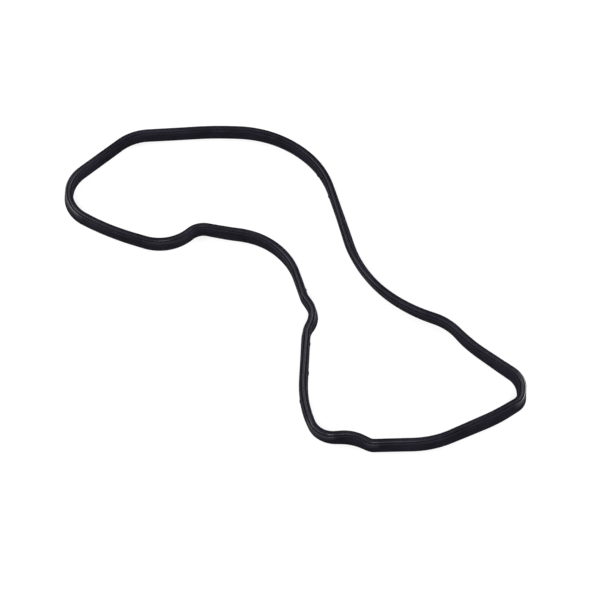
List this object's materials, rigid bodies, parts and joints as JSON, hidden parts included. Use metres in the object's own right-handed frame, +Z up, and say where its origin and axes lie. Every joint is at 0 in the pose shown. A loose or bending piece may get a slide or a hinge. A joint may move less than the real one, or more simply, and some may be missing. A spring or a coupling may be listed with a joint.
{
  "type": "valve cover gasket",
  "caption": "S-shaped one-piece rubber ring with a flat base, two low ribs along each side, two rounded shoulders and a slightly taller sealing bead, laid in the groove of an engine valve cover.",
  "frame": {"origin": "middle of the bounding box, in the plane that the ring's flat base rests on", "axes": "+X along the longest side of the ring, +Y towards its wide straight top run, +Z up out of the base towards the sealing bead"},
  "size_m": [0.2638, 0.2274, 0.0081],
  "materials": {
    "rubber": "moulded black rubber, satin, with a slightly glossier bead"
  },
  "bodies": {
    "root": {"gasket": "rubber"}
  },
  "joints": []
}
